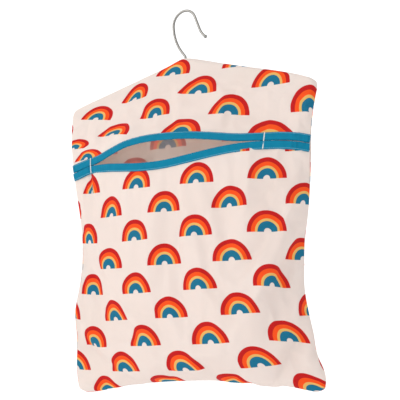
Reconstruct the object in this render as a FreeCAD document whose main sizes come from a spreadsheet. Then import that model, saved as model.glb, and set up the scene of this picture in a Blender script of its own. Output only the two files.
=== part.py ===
import FreeCAD, Part
import math
import os
import Sketcher

# Cloth bag on a wooden hanger bar, with a wire hook that turns in the bar.
# Origin: inside top of the hook's crown, where a rail carries it. +Z up, +X right, the front faces -Y.

doc = FreeCAD.newDocument("hanging_bag")

# Driving sizes, millimetres and degrees.

drivingSizes = [
    ("wire_diameter", 3.0, "steel wire of the hook"),
    ("crown_radius", 16.5, "hook crown, to the middle of the wire"),
    ("lean_radius", 60.5, "long bend from the crown to the slanting shank"),
    ("lean_angle", 36.0, "slant of the shank from upright"),
    ("neck_radius", 5.0, "bend from the slanting shank to the upright stem"),
    ("neck_height", 2.1, "where shank and stem would meet, above the cloth"),
    ("tail_angle", 20.0, "slant of the hook's free side from upright"),
    ("tail_length", 18.0, "straight stretch of the free side"),
    ("flick_radius", 29.0, "outward flick at the hook's end"),
    ("flick_angle", 29.0, "turn of the flick"),
    ("tip_radius", 2.1, "rounded end of the wire"),
    ("hook_turn", -12.5, "turn of the hook about its stem at rest"),
    ("stem_clearance", 0.08, "stem to the hole in the bar, on the radius"),
    ("head_radius", 3.2, "headed end of the stem"),
    ("head_height", 2.0, "headed end of the stem"),
    ("head_gap", 0.1, "head to washer"),
    ("washer_radius", 5.0, "washer, outside"),
    ("washer_height", 1.0, "washer thickness"),
    ("counterbore_gap", 0.5, "washer to the counterbore's wall"),
    ("stem_cover", 17.0, "wood between the top of the bar and the washer"),
    ("bar_thickness", 12.0, "hanger bar, front to back"),
    ("bar_height", 28.0, "hanger bar at its middle"),
    ("bar_end_height", 20.0, "hanger bar at its ends"),
    ("bar_end_gap", 5.0, "end of the bar to the side seam"),
    ("bar_edge_radius", 4.0, "rounded long edges of the bar"),
    ("bar_nose_radius", 8.0, "rounded ends of the bar, seen from the front"),
    ("bar_hump_radius", 30.0, "rounded top of the bar at its middle"),
    ("bar_clearance", 0.5, "bar to cloth"),
    ("cloth", 0.8, "thickness of a cloth panel, with its give"),
    ("seam_height", 0.8, "thickness of an overlocked seam allowance"),
    ("seam_width", 6.0, "width of an overlocked seam allowance"),
    ("seam_gap", 0.2, "seam allowance to cloth"),
    ("bag_width", 315.0, "across the shoulders"),
    ("waist_pull", 13.5, "how far each side is pulled in at the waist"),
    ("hem_pull", 5.5, "how far each bottom corner stands in from the shoulder's end"),
    ("bag_length", 394.0, "cloth apex to hem"),
    ("shoulder_drop", 48.0, "cloth apex to the shoulder's end"),
    ("shoulder_round", 9.0, "rounded shoulder corner"),
    ("corner_bulge", 1.3, "radius of that corner over its reach"),
    ("mouth_drop", 119.0, "cloth apex to the closed ends of the mouth"),
    ("waist_drop", 250.0, "cloth apex to the fullest, narrowest level"),
    ("mouth_side", 5.0, "half depth at the side seams at the mouth"),
    ("waist_side", 3.0, "half depth at the side seams at the waist"),
    ("yoke_crown", 6.0, "front bulge just under the bar"),
    ("mouth_crown", 28.0, "front bulge at the mouth"),
    ("front_crown", 37.0, "front bulge at the waist"),
    ("back_crown", 11.0, "back bulge at the waist"),
    ("flat_crown", 0.4, "bulge where the cloth lies flat"),
    ("left_tack_inset", 22.0, "left side of the bag to the left bar tack"),
    ("right_tack_inset", 54.0, "right side of the bag to the right bar tack"),
    ("tack_width", 1.6, "bar tack"),
    ("tack_height", 0.6, "how far a bar tack stands proud"),
    ("gape_side", 45.0, "widest place of the mouth, left of the middle"),
    ("upper_gape", 22.0, "rise of the upper lip there"),
    ("lower_gape", 6.0, "drop of the lower lip there"),
    ("right_rise", 4.5, "right tack above the left one"),
    ("lip_gap", 0.4, "between the two tapes where the mouth is closed"),
    ("tape", 0.8, "thickness of one layer of binding tape"),
    ("tape_width", 9.4, "width of the folded binding"),
    ("fold_gap", 1.0, "raw edge to the fold of the tape"),
    ("tape_end_gap", 1.2, "end of the tape to the side of the bag"),
    ("stitch_inset", 1.4, "stitching from the tape's inner edge"),
    ("stitch_width", 0.6, "stitching thread"),
    ("stitch_height", 0.3, "how far the stitching stands proud"),
    ("hook_hole", 2.2, "gap left in the shoulder seam for the hook, radius"),
    ("mouth_pull", 0.45, "share of the waist's pull taken at the mouth"),
    ("bar_pull", 0.2, "share of the mouth's pull taken just under the bar"),
    ("back_mouth_share", 0.4, "share of the back's bulge reached at the mouth"),
    ("lower_level", 0.35, "height of the last level, as a share of hem to waist"),
    ("lower_share", 0.5, "share of the waist's bulge left at that level"),
    ("seam_fill", 0.9, "share of a seam allowance's thickness that is solid"),
    ("lip_run", 10.0, "distance over which a lip falls to its end"),
    ("cut_margin", 10.0, "how far a cutting shape runs past what it cuts"),
    ("tray_margin", 5.0, "how far the cloth's trays run above the apex"),
]

sheet = doc.addObject("Spreadsheet::Sheet", "sizes")
for row, (alias, number, note) in enumerate(drivingSizes, start=1):
    sheet.set("A%d" % row, note)
    sheet.set("B%d" % row, str(number))
    sheet.setAlias("B%d" % row, alias)
doc.recompute()

# Heights and places that follow from them.

derivedSizes = [
    ("wire_radius", "sizes.wire_diameter / 2"),
    ("crown_level", "-(sizes.crown_radius - derived.wire_radius)"),
    ("lean_rise", "sizes.lean_radius * sin(sizes.lean_angle)"),
    ("lean_reach", "sizes.lean_radius * (1 - cos(sizes.lean_angle))"),
    ("shank_reach", "sizes.crown_radius - derived.lean_reach"),
    ("shank_rise", "derived.shank_reach / tan(sizes.lean_angle)"),
    ("neck_level", "derived.crown_level - derived.lean_rise - derived.shank_rise"),
    ("neck_length", "sizes.neck_radius * tan(sizes.lean_angle / 2)"),
    ("apex", "derived.neck_level - sizes.neck_height"),
    ("slope", "sizes.shoulder_drop / (sizes.bag_width / 2)"),
    ("bar_top", "derived.apex - sizes.cloth - sizes.seam_height - sizes.bar_clearance"),
    ("bar_gap", "sizes.bar_thickness / 2 + sizes.bar_clearance"),
    ("bar_reach", "sizes.bag_width / 2 - sizes.cloth - sizes.bar_end_gap"),
    ("bar_end_top", "derived.bar_top - derived.slope * derived.bar_reach"),
    ("bar_end_base", "derived.bar_end_top - sizes.bar_end_height"),
    ("bar_base", "derived.bar_top - sizes.bar_height"),
    ("bar_arch", "derived.bar_base - derived.bar_end_base"),
    ("bar_arch_radius", "(derived.bar_reach ^ 2 + derived.bar_arch ^ 2) / (2 * derived.bar_arch)"),
    ("washer_top", "derived.bar_top - sizes.stem_cover"),
    ("washer_base", "derived.washer_top - sizes.washer_height"),
    ("head_top", "derived.washer_base - sizes.head_gap"),
    ("head_base", "derived.head_top - sizes.head_height"),
    ("under_bar", "derived.bar_end_base - sizes.bar_end_gap"),
    ("mouth", "derived.apex - sizes.mouth_drop"),
    ("waist", "derived.apex - sizes.waist_drop"),
    ("hem", "derived.apex - sizes.bag_length"),
    ("mouth_width", "sizes.bag_width - 2 * sizes.waist_pull * sizes.mouth_pull"),
    ("waist_width", "sizes.bag_width - 2 * sizes.waist_pull"),
    ("hem_width", "sizes.bag_width - 2 * sizes.hem_pull"),
    ("left_tack", "derived.mouth_width / 2 - sizes.left_tack_inset"),
    ("right_tack", "derived.mouth_width / 2 - sizes.right_tack_inset"),
    ("hem_side", "sizes.seam_height"),
    ("gape_x", "-sizes.gape_side"),
    ("upper_left_radius",
     "((derived.left_tack - sizes.gape_side) ^ 2 + sizes.upper_gape ^ 2) / (2 * sizes.upper_gape)"),
    ("upper_right_fall", "sizes.upper_gape - sizes.right_rise"),
    ("upper_right_radius",
     "((derived.right_tack + sizes.gape_side) ^ 2 + derived.upper_right_fall ^ 2)"
     " / (2 * derived.upper_right_fall)"),
    ("lower_left_radius",
     "((derived.left_tack - sizes.gape_side) ^ 2 + sizes.lower_gape ^ 2) / (2 * sizes.lower_gape)"),
    ("lower_right_rise", "sizes.lower_gape + sizes.right_rise"),
    ("lower_right_radius",
     "((derived.right_tack + sizes.gape_side) ^ 2 + derived.lower_right_rise ^ 2)"
     " / (2 * derived.lower_right_rise)"),
    ("lip_end", "derived.mouth_width / 2 - sizes.cloth - sizes.tape - sizes.tape_end_gap"),
    ("lip_fall", "derived.slope * sizes.lip_run"),
    ("block_reach", "sizes.front_crown + sizes.bar_thickness + 2 * sizes.cut_margin"),
]

derived = doc.addObject("App::VarSet", "derived")
for name, expression in derivedSizes:
    derived.addProperty("App::PropertyFloat", name)
    derived.setExpression(name, expression)
doc.recompute()


def value(expression):
    """The number that an expression on the sheet comes to."""
    return float(derived.evalExpression(expression))


# Helpers for bodies and sketches.

def newBody(label):
    return doc.addObject("PartDesign::Body", label)


def originPlane(body, role):
    return next(feature for feature in body.Origin.OriginFeatures if feature.Role == role)


def newSketch(body, name, role, height=None):
    sketch = body.newObject("Sketcher::SketchObject", name)
    sketch.AttachmentSupport = [(originPlane(body, role), "")]
    sketch.MapMode = "FlatFace"
    if height:
        sketch.setExpression("AttachmentOffset.Base.z", height)
    return sketch


def arcBetween(start, end, radius, side):
    """The shorter arc between two points, bulging to the left of its chord for side 1, right for -1."""
    chord = end - start
    normal = FreeCAD.Vector(-chord.y, chord.x, 0).normalize()
    sagitta = radius - math.sqrt(max(radius ** 2 - chord.Length ** 2 / 4, 0))
    middle = (start + end) / 2 + normal * sagitta * side
    return Part.Arc(start, middle, end)


def drawPath(sketch, corners, links, closed):
    """Joins the corners by lines, or by arcs where links holds (radius, side), tied to the sheet."""
    points = [FreeCAD.Vector(value(across), value(up), 0) for across, up in corners]
    count = len(points) if closed else len(points) - 1
    ends = []
    for index in range(count):
        start, end = points[index], points[(index + 1) % len(points)]
        link = links.get(index)
        if link:
            curve = arcBetween(start, end, value(link[0]), link[1])
        else:
            curve = Part.LineSegment(start, end)
        edge = sketch.addGeometry(curve, False)
        first, last = 1, 2
        if link and (sketch.getPoint(edge, 1) - start).Length > 1e-6:
            first, last = 2, 1
        if link:
            radius = sketch.addConstraint(Sketcher.Constraint("Radius", edge, value(link[0])))
            sketch.setExpression("Constraints[%d]" % radius, link[0])
        ends.append((edge, first, last))
    for index in range(1, count):
        before, after = ends[index - 1], ends[index]
        sketch.addConstraint(Sketcher.Constraint("Coincident", before[0], before[2], after[0], after[1]))
    if closed:
        before, after = ends[-1], ends[0]
        sketch.addConstraint(Sketcher.Constraint("Coincident", before[0], before[2], after[0], after[1]))
    for index, (across, up) in enumerate(corners):
        edge, place = (ends[index][0], ends[index][1]) if index < count else (ends[-1][0], ends[-1][2])
        for kind, expression, number in (
            ("DistanceX", across, points[index].x),
            ("DistanceY", up, points[index].y),
        ):
            tie = sketch.addConstraint(Sketcher.Constraint(kind, edge, place, number))
            sketch.setExpression("Constraints[%d]" % tie, expression)


def newPad(body, sketch, length, symmetric=True, back=False):
    pad = body.newObject("PartDesign::Pad", sketch.Name + "_pad")
    pad.Profile = sketch
    pad.Midplane = symmetric
    pad.Reversed = back
    pad.setExpression("Length", length)
    return pad


def outlineBlock(name, corners, links=None, length="2 * derived.block_reach"):
    """A closed outline in the XZ plane, made into a block that runs through the whole bag."""
    body = newBody(name)
    sketch = newSketch(body, name + "_outline", "XZ_Plane")
    drawPath(sketch, corners, links or {}, True)
    newPad(body, sketch, length)
    return body


def roundBar(name, radius, base, height):
    cylinder = doc.addObject("Part::Cylinder", name)
    cylinder.setExpression("Radius", radius)
    cylinder.setExpression("Height", height)
    cylinder.setExpression("Placement.Base.z", base)
    return cylinder


def combine(kind, name, base, tool):
    result = doc.addObject("Part::" + kind, name)
    result.Base = base
    result.Tool = tool
    return result


# Hook, washer and hanger bar.

def makeHook():
    """Wire bent in one plane, with a headed lower end and a rounded tip, swept along its middle line."""
    body = newBody("hook")
    path = newSketch(body, "hook_path", "XZ_Plane")
    lean, tail = "sizes.lean_angle", "sizes.tail_angle"
    tangentX = "sizes.crown_radius * cos(%s)" % tail
    tangentZ = "derived.crown_level + sizes.crown_radius * sin(%s)" % tail
    tailX = "(%s + sizes.tail_length * sin(%s))" % (tangentX, tail)
    tailZ = "(%s - sizes.tail_length * cos(%s))" % (tangentZ, tail)
    turned = "(%s + sizes.flick_angle)" % tail
    tipX = "%s + sizes.flick_radius * (cos(%s) - cos(%s))" % (tailX, tail, turned)
    tipZ = "%s + sizes.flick_radius * (sin(%s) - sin(%s))" % (tailZ, tail, turned)
    corners = [
        ("0", "derived.head_base"),
        ("0", "derived.neck_level - derived.neck_length"),
        ("-derived.neck_length * sin(%s)" % lean,
         "derived.neck_level + derived.neck_length * cos(%s)" % lean),
        ("-derived.shank_reach", "derived.neck_level + derived.shank_rise"),
        ("-sizes.crown_radius", "derived.crown_level"),
        (tangentX, tangentZ),
        (tailX, tailZ),
        (tipX, tipZ),
    ]
    links = {
        1: ("sizes.neck_radius", -1),
        3: ("sizes.lean_radius", 1),
        4: ("sizes.crown_radius", 1),
        6: ("sizes.flick_radius", -1),
    }
    drawPath(path, corners, links, False)
    section = newSketch(body, "hook_section", "XY_Plane", "derived.head_base")
    ring = Part.Circle(FreeCAD.Vector(), FreeCAD.Vector(0, 0, 1), value("derived.wire_radius"))
    circle = section.addGeometry(ring)
    section.addConstraint(Sketcher.Constraint("Coincident", circle, 3, -1, 1))
    radius = section.addConstraint(Sketcher.Constraint("Radius", circle, value("derived.wire_radius")))
    section.setExpression("Constraints[%d]" % radius, "derived.wire_radius")
    doc.recompute()
    pipe = body.newObject("PartDesign::AdditivePipe", "hook_wire")
    pipe.Profile = section
    pipe.Spine = (path, ["Edge%d" % (index + 1) for index in range(len(corners) - 1)])
    doc.recompute()
    head = body.newObject("PartDesign::AdditiveCylinder", "hook_head")
    head.AttachmentSupport = [(originPlane(body, "XY_Plane"), "")]
    head.MapMode = "FlatFace"
    head.setExpression("Radius", "sizes.head_radius")
    head.setExpression("Height", "sizes.head_height")
    head.setExpression("AttachmentOffset.Base.z", "derived.head_base")
    doc.recompute()
    tip = body.newObject("PartDesign::AdditiveSphere", "hook_tip")
    tip.AttachmentSupport = [(originPlane(body, "XY_Plane"), "")]
    tip.MapMode = "FlatFace"
    tip.setExpression("Radius", "sizes.tip_radius")
    tip.setExpression("AttachmentOffset.Base.x", tipX)
    tip.setExpression("AttachmentOffset.Base.z", tipZ)
    body.Placement = FreeCAD.Placement(
        FreeCAD.Vector(), FreeCAD.Rotation(FreeCAD.Vector(0, 0, 1), value("sizes.hook_turn"))
    )
    return body


def makeWasher():
    disc = roundBar("washer_disc", "sizes.washer_radius", "derived.washer_base", "sizes.washer_height")
    hole = roundBar(
        "washer_hole", "derived.wire_radius + sizes.stem_clearance", "derived.washer_base - 1",
        "sizes.washer_height + 2",
    )
    return combine("Cut", "washer", disc, hole)


def isCross(edge):
    """Whether an edge of the bar runs from its front face to its back face."""
    return abs(edge.CenterOfMass.y) < 1e-6


def roundEdges(body, name, chosen, radius):
    before = body.Tip
    names = ["Edge%d" % (index + 1) for index, edge in enumerate(before.Shape.Edges) if chosen(edge)]
    fillet = body.newObject("PartDesign::Fillet", name)
    fillet.Base = (before, names)
    fillet.setExpression("Radius", radius)
    doc.recompute()


def makeBar():
    """Arched bar under the shoulders, edges rounded, bored for the stem, with a pocket for the washer."""
    body = newBody("bar")
    sketch = newSketch(body, "bar_outline", "XZ_Plane")
    corners = [
        ("0", "derived.bar_top"),
        ("derived.bar_reach", "derived.bar_end_top"),
        ("derived.bar_reach", "derived.bar_end_base"),
        ("-derived.bar_reach", "derived.bar_end_base"),
        ("-derived.bar_reach", "derived.bar_end_top"),
    ]
    drawPath(sketch, corners, {2: ("derived.bar_arch_radius", -1)}, True)
    newPad(body, sketch, "sizes.bar_thickness")
    doc.recompute()
    near = 1
    endTop = value("derived.bar_end_top") + near
    roundEdges(
        body, "bar_hump", lambda edge: isCross(edge) and abs(edge.CenterOfMass.x) < near,
        "sizes.bar_hump_radius",
    )
    roundEdges(
        body, "bar_noses", lambda edge: isCross(edge) and edge.CenterOfMass.z < endTop,
        "sizes.bar_nose_radius",
    )
    roundEdges(body, "bar_rounding", lambda edge: not isCross(edge), "sizes.bar_edge_radius")
    bore = roundBar(
        "stem_bore", "derived.wire_radius + sizes.stem_clearance", "derived.bar_base - sizes.cut_margin",
        "sizes.bar_height + 2 * sizes.cut_margin",
    )
    pocket = roundBar(
        "washer_pocket", "sizes.washer_radius + sizes.counterbore_gap",
        "derived.bar_base - sizes.cut_margin",
        "derived.washer_top - derived.bar_base + sizes.cut_margin",
    )
    return combine("Cut", "drilled_bar", combine("Cut", "bored_bar", body, bore), pocket)


# Cloth.

# The bag's levels from the top: height, half width, half depth at the side seams, front and back bulge.
levels = [
    ("derived.apex + sizes.tray_margin", "sizes.bag_width / 2", "derived.bar_gap",
     "sizes.flat_crown", "sizes.flat_crown"),
    ("derived.apex - sizes.shoulder_drop", "sizes.bag_width / 2", "derived.bar_gap",
     "sizes.flat_crown", "sizes.flat_crown"),
    ("derived.under_bar", "sizes.bag_width / 2 - (sizes.bag_width - derived.mouth_width) * sizes.bar_pull",
     "derived.bar_gap", "sizes.yoke_crown", "sizes.yoke_crown / 2"),
    ("derived.mouth", "derived.mouth_width / 2", "sizes.mouth_side",
     "sizes.mouth_crown", "sizes.back_crown * sizes.back_mouth_share"),
    ("derived.waist", "derived.waist_width / 2", "sizes.waist_side",
     "sizes.front_crown", "sizes.back_crown"),
    ("derived.hem + (derived.waist - derived.hem) * sizes.lower_level",
     "(derived.waist_width + derived.hem_width) / 4", "(sizes.waist_side + derived.hem_side) / 2",
     "sizes.front_crown * sizes.lower_share", "sizes.back_crown * sizes.lower_share"),
    ("derived.hem", "derived.hem_width / 2", "derived.hem_side", "sizes.flat_crown", "sizes.flat_crown"),
]


def trayShell(name, front, inner, outer, span):
    """A tray lofted down a span of levels, from inner to outer, both measured from the cloth's inside."""
    body = newBody(name)
    sign = "-" if front else ""
    sections = []
    for number, (height, half, side, frontCrown, backCrown) in enumerate(span):
        crown = frontCrown if front else backCrown
        sketch = newSketch(body, "%s_level_%d" % (name, number), "XY_Plane", height)
        outHalf = "(%s - sizes.cloth + (%s))" % (half, outer)
        inHalf = "(%s - sizes.cloth + (%s))" % (half, inner)
        outSide = "%s(%s + (%s))" % (sign, side, outer)
        inSide = "%s(%s + (%s))" % (sign, side, inner)
        corners = [
            ("-" + outHalf, "0"), ("-" + outHalf, outSide), (outHalf, outSide), (outHalf, "0"),
            (inHalf, "0"), (inHalf, inSide), ("-" + inHalf, inSide), ("-" + inHalf, "0"),
        ]
        arch = "((%s) ^ 2 + (%s) ^ 2) / (2 * (%s))"
        turn = -1 if front else 1
        links = {
            1: (arch % (outHalf, crown, crown), turn),
            5: (arch % (inHalf, crown, crown), -turn),
        }
        drawPath(sketch, corners, links, True)
        sections.append(sketch)
    doc.recompute()
    loft = body.newObject("PartDesign::AdditiveLoft", name + "_loft")
    loft.Profile = sections[0]
    loft.Sections = sections[1:]
    loft.Ruled = True
    return body


# Lips of the mouth: places across the bag, with the height of the closed mouth line there.
leftEnd = ("-derived.lip_end", "derived.mouth - derived.lip_fall")
leftTack = ("-derived.left_tack", "derived.mouth")
rightTack = ("derived.right_tack", "derived.mouth + sizes.right_rise")
rightEnd = ("derived.lip_end", "derived.mouth - derived.lip_fall")


def lipLine(upper, shift):
    """One lip from left to right, moved up by shift. Returns its corners and the arcs between them."""
    gape = "sizes.upper_gape" if upper else "-sizes.lower_gape"
    widest = ("derived.gape_x", "derived.mouth + (%s)" % gape)
    corners = [
        (across, "%s + (%s)" % (up, shift))
        for across, up in (leftEnd, leftTack, widest, rightTack, rightEnd)
    ]
    word = "upper" if upper else "lower"
    turn = 1 if upper else -1
    arcs = {1: ("derived.%s_left_radius" % word, turn), 2: ("derived.%s_right_radius" % word, turn)}
    return corners, arcs


def bandBlock(name, upper, low, high):
    """The block between two copies of one lip, shifted up by low and by high."""
    lower, lowerArcs = lipLine(upper, low)
    higher, higherArcs = lipLine(upper, high)
    corners = lower + higher[::-1]
    links = dict(lowerArcs)
    for index, (radius, turn) in higherArcs.items():
        links[len(corners) - 2 - index] = (radius, -turn)
    return outlineBlock(name, corners, links)


def shoulderCorners(drop):
    """The roof line of the bag from the left shoulder to the right one, lowered by drop."""
    half = "sizes.bag_width / 2"
    inset = "(%s - sizes.shoulder_round)" % half
    return [
        ("-" + half, "derived.apex - sizes.shoulder_drop - sizes.shoulder_round - (%s)" % drop),
        ("-" + inset, "derived.apex - derived.slope * %s - (%s)" % (inset, drop)),
        ("0", "derived.apex - (%s)" % drop),
        (inset, "derived.apex - derived.slope * %s - (%s)" % (inset, drop)),
        (half, "derived.apex - sizes.shoulder_drop - sizes.shoulder_round - (%s)" % drop),
    ]


roundArc = "sizes.shoulder_round * sizes.corner_bulge"


def roofedBlock(name, lowerCorners, lowerArcs):
    """A block from the roof line down to the corners given, which run from left to right."""
    roof = shoulderCorners("0")
    corners = lowerCorners + roof[::-1]
    links = dict(lowerArcs)
    first = len(lowerCorners)
    links[first] = (roundArc, -1)
    links[first + 3] = (roundArc, -1)
    return outlineBlock(name, corners, links)


def roofStrip(name, back):
    """The strip of cloth that folds over the top of the bar on one side of the shoulder seam."""
    body = newBody(name)
    sketch = newSketch(body, name + "_outline", "XZ_Plane")
    upper = shoulderCorners("0")
    lower = shoulderCorners("sizes.cloth")
    corners = lower + upper[::-1]
    count = len(lower)
    links = {0: (roundArc, 1), 3: (roundArc, 1), count: (roundArc, -1), count + 3: (roundArc, -1)}
    drawPath(sketch, corners, links, True)
    newPad(body, sketch, "derived.bar_gap + sizes.cloth", symmetric=False, back=back)
    return body


def makePanels():
    """Yoke, lower panel and back, cut from one front tray and one back tray."""
    half = "sizes.bag_width / 2"
    frontTray = trayShell("front_tray", True, "0", "sizes.cloth", levels)
    backTray = trayShell("back_tray", False, "0", "sizes.cloth", levels)
    hole = roundBar(
        "hook_gap", "sizes.hook_hole", "derived.apex - sizes.cut_margin", "2 * sizes.cut_margin"
    )
    edge, arcs = lipLine(True, "sizes.lip_gap / 2 + sizes.fold_gap")
    sides = [("-" + half, edge[0][1])] + edge + [(half, edge[-1][1])]
    yokeBlock = roofedBlock("yoke_block", sides, {index + 1: arc for index, arc in arcs.items()})
    yoke = combine("Common", "yoke_sheet", frontTray, yokeBlock)
    yoke = combine("Fuse", "yoke_folded", yoke, roofStrip("front_roof", False))
    yoke = combine("Cut", "yoke", yoke, hole)
    edge, arcs = lipLine(False, "-sizes.lip_gap / 2 - sizes.fold_gap")
    sides = [("-" + half, edge[0][1])] + edge + [(half, edge[-1][1])]
    corners = sides + [(half, "derived.hem"), ("-" + half, "derived.hem")]
    lowerBlock = outlineBlock("lower_block", corners, {index + 1: arc for index, arc in arcs.items()})
    lower = combine("Common", "lower", frontTray, lowerBlock)
    backBlock = roofedBlock("back_block", [("-" + half, "derived.hem"), (half, "derived.hem")], {})
    back = combine("Common", "back_sheet", backTray, backBlock)
    back = combine("Fuse", "back_folded", back, roofStrip("back_roof", True))
    back = combine("Cut", "back", back, hole)
    return yoke, lower, back


def makeBindings(yoke, lower):
    """Tape folded over each raw edge of the mouth, its stitching, and the two tacks across both tapes."""
    span = levels[2:5]
    tapeTray = trayShell("tape_tray", True, "-sizes.tape", "sizes.cloth + sizes.tape", span)
    proud = "sizes.cloth + sizes.tape"
    stitchTray = trayShell("stitch_tray", True, proud, proud + " + sizes.stitch_height", span)
    tackBase = proud + " + sizes.stitch_height"
    tackTray = trayShell("tack_tray", True, tackBase, tackBase + " + sizes.tack_height", span)
    halfGap = "sizes.lip_gap / 2"
    width = "sizes.tape_width"
    seamLow = "(sizes.tape_width - sizes.stitch_inset - sizes.stitch_width)"
    seamHigh = "(sizes.tape_width - sizes.stitch_inset)"
    upperTape = combine(
        "Cut", "upper_tape",
        combine("Common", "upper_tape_sheet", tapeTray,
                bandBlock("upper_tape_block", True, halfGap, "%s + %s" % (halfGap, width))),
        yoke,
    )
    lowerTape = combine(
        "Cut", "lower_tape",
        combine("Common", "lower_tape_sheet", tapeTray,
                bandBlock("lower_tape_block", False, "-%s - %s" % (halfGap, width), "-" + halfGap)),
        lower,
    )
    upperStitch = combine(
        "Common", "upper_stitch", stitchTray,
        bandBlock("upper_stitch_block", True,
                  "%s + %s" % (halfGap, seamLow), "%s + %s" % (halfGap, seamHigh)),
    )
    lowerStitch = combine(
        "Common", "lower_stitch", stitchTray,
        bandBlock("lower_stitch_block", False,
                  "-%s - %s" % (halfGap, seamHigh), "-%s - %s" % (halfGap, seamLow)),
    )
    tacks = []
    for name, (across, up) in (("left_tack", leftTack), ("right_tack", rightTack)):
        corners = [
            ("%s - sizes.tack_width / 2" % across, "%s - %s" % (up, width)),
            ("%s + sizes.tack_width / 2" % across, "%s - %s" % (up, width)),
            ("%s + sizes.tack_width / 2" % across, "%s + %s" % (up, width)),
            ("%s - sizes.tack_width / 2" % across, "%s + %s" % (up, width)),
        ]
        tacks.append(combine("Common", name, tackTray, outlineBlock(name + "_block", corners)))
    return upperTape, lowerTape, upperStitch, lowerStitch, tacks[0], tacks[1]


def makeSideSeam(name, sign):
    """Overlocked allowance down one side, inside the bag, from under the bar to the hem."""
    body = newBody(name)
    sections = []
    thick = "(sizes.seam_height / 2 * sizes.seam_fill)"
    for number, (height, half, side, frontCrown, backCrown) in enumerate(levels[2:]):
        sketch = newSketch(body, "%s_level_%d" % (name, number), "XY_Plane", height)
        outer = "%s(%s - sizes.cloth - sizes.seam_gap)" % (sign, half)
        inner = "%s(%s - sizes.cloth - sizes.seam_gap - sizes.seam_width)" % (sign, half)
        corners = [(outer, "-" + thick), (inner, "-" + thick), (inner, thick), (outer, thick)]
        drawPath(sketch, corners, {}, True)
        sections.append(sketch)
    doc.recompute()
    loft = body.newObject("PartDesign::AdditiveLoft", name + "_loft")
    loft.Profile = sections[0]
    loft.Sections = sections[1:]
    loft.Ruled = True
    return body


def makeBottomSeam():
    reach = "(derived.hem_width / 2 - sizes.cloth - 2 * sizes.seam_gap - 1.5 * sizes.seam_width)"
    corners = [
        ("-" + reach, "derived.hem"),
        (reach, "derived.hem"),
        (reach, "derived.hem + sizes.seam_width"),
        ("-" + reach, "derived.hem + sizes.seam_width"),
    ]
    return outlineBlock("hem_seam", corners, length="2 * derived.hem_side")


def makeShoulderSeam(name, sign):
    """Overlocked allowance between the folded cloth and the top of the bar, on one side of the hook."""
    start = "(sizes.hook_hole + 2 * sizes.seam_gap)"
    end = "(sizes.bag_width / 2 - sizes.shoulder_round - sizes.seam_width)"
    top = "derived.apex - sizes.cloth - derived.slope * %s"
    base = "derived.apex - sizes.cloth - sizes.seam_height - derived.slope * %s"
    corners = [
        (sign + start, base % start), (sign + end, base % end),
        (sign + end, top % end), (sign + start, top % start),
    ]
    return outlineBlock(name, corners, length="sizes.seam_width")


# Assembly and output.

yoke, lower, back = makePanels()
upperTape, lowerTape, upperStitch, lowerStitch, leftTackBar, rightTackBar = makeBindings(yoke, lower)
nodes = {
    "hook": makeHook(),
    "hook_washer": makeWasher(),
    "hanger_bar": makeBar(),
    "front_yoke": yoke,
    "front_lower_panel": lower,
    "back_panel": back,
    "upper_binding": upperTape,
    "lower_binding": lowerTape,
    "upper_binding_stitching": upperStitch,
    "lower_binding_stitching": lowerStitch,
    "left_bar_tack": leftTackBar,
    "right_bar_tack": rightTackBar,
    "left_side_seam": makeSideSeam("left_side", "-"),
    "right_side_seam": makeSideSeam("right_side", ""),
    "left_shoulder_seam": makeShoulderSeam("left_shoulder", "-"),
    "right_shoulder_seam": makeShoulderSeam("right_shoulder", ""),
    "bottom_seam": makeBottomSeam(),
}
doc.recompute()

faults = [
    "%s: %s" % (item.Name, item.State)
    for item in doc.Objects
    if {"Invalid", "Error"} & set(item.State)
]
for label, item in nodes.items():
    item.Label = label
    shape = item.Shape
    if shape.isNull() or not shape.isValid() or not shape.Solids:
        faults.append("%s: no valid solid" % label)
        continue
    box = shape.BoundBox
    print(
        "%-26s solids %d  volume %9.1f  x %7.1f %7.1f  y %6.1f %6.1f  z %7.1f %7.1f"
        % (label, len(shape.Solids), shape.Volume,
           box.XMin, box.XMax, box.YMin, box.YMax, box.ZMin, box.ZMax)
    )
if faults:
    raise SystemExit("\n".join(faults))

os.makedirs("parts", exist_ok=True)
for label, item in nodes.items():
    item.Shape.exportStep("parts/%s.step" % label)
print("wrote %d nodes" % len(nodes))
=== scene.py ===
import math

import bpy
import numpy as np
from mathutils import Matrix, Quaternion, Vector


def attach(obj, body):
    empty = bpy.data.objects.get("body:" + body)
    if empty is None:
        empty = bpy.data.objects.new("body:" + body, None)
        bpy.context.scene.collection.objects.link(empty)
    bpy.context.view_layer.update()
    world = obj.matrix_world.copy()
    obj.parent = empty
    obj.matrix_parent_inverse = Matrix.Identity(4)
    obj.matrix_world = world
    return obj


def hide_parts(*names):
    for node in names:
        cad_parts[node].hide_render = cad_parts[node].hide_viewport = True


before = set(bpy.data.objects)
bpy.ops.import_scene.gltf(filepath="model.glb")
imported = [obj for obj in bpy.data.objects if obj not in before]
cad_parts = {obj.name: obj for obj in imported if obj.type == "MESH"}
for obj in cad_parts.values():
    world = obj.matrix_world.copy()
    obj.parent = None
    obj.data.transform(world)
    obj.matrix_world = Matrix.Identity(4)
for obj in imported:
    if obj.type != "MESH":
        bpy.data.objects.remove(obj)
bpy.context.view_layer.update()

mm = 0.001


def deselectAll():
    if bpy.context.object and bpy.context.object.mode != "OBJECT":
        bpy.ops.object.mode_set(mode="OBJECT")
    bpy.ops.object.select_all(action="DESELECT")


def makeActive(piece):
    deselectAll()
    piece.select_set(True)
    bpy.context.view_layer.objects.active = piece


def applyAll(piece):
    makeActive(piece)
    for modifier in list(piece.modifiers):
        bpy.ops.object.modifier_apply(modifier=modifier.name)


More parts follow.
